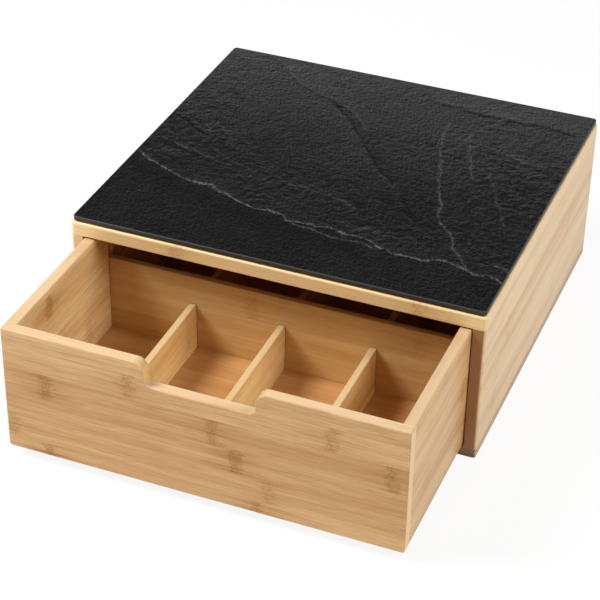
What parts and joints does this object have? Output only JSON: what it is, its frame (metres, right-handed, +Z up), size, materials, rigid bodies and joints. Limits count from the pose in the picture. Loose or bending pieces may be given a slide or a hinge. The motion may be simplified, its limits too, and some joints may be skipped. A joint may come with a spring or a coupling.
{
  "type": "tea bag drawer box",
  "caption": "Tabletop bamboo box with a slate-look glass top and one full-width drawer with a finger notch and divided compartments.",
  "frame": {"origin": "middle of the case's underside, on the surface it stands on", "axes": "+Z up; -Y out of the open front, the way the drawer pulls out; +X to the right seen from the front"},
  "size_m": [0.31, 0.4135, 0.1236],
  "materials": {
    "slate_glass": "satin black with a printed and embossed slate relief",
    "clear_pad": "clear silicone",
    "bamboo_case": "laminated bamboo strips, satin lacquer",
    "bamboo_drawer": "laminated bamboo strips, satin lacquer",
    "bamboo_thin": "thin laminated bamboo, satin lacquer",
    "bamboo_floor": "thin laminated bamboo, satin lacquer",
    "dowel": "plain beech"
  },
  "bodies": {
    "case": {"glass_top": "slate_glass", "glass_pads": "clear_pad", "top_board": "bamboo_case", "bottom_board": "bamboo_case", "left_side_panel": "bamboo_case", "right_side_panel": "bamboo_case", "back_panel": "bamboo_case", "case_dowels": "dowel"},
    "drawer": {"drawer_front": "bamboo_drawer", "drawer_left_side": "bamboo_drawer", "drawer_right_side": "bamboo_drawer", "drawer_back": "bamboo_drawer", "drawer_floor": "bamboo_floor", "drawer_dowels": "dowel", "cross_divider": "bamboo_thin", "left_divider": "bamboo_thin", "middle_divider": "bamboo_thin", "right_divider": "bamboo_thin"}
  },
  "joints": [
    {"name": "drawer_slide", "type": "slide", "parent": "case", "child": "drawer", "axis": [0, -1, 0], "range_m": [-0.1215, 0.08]}
  ]
}
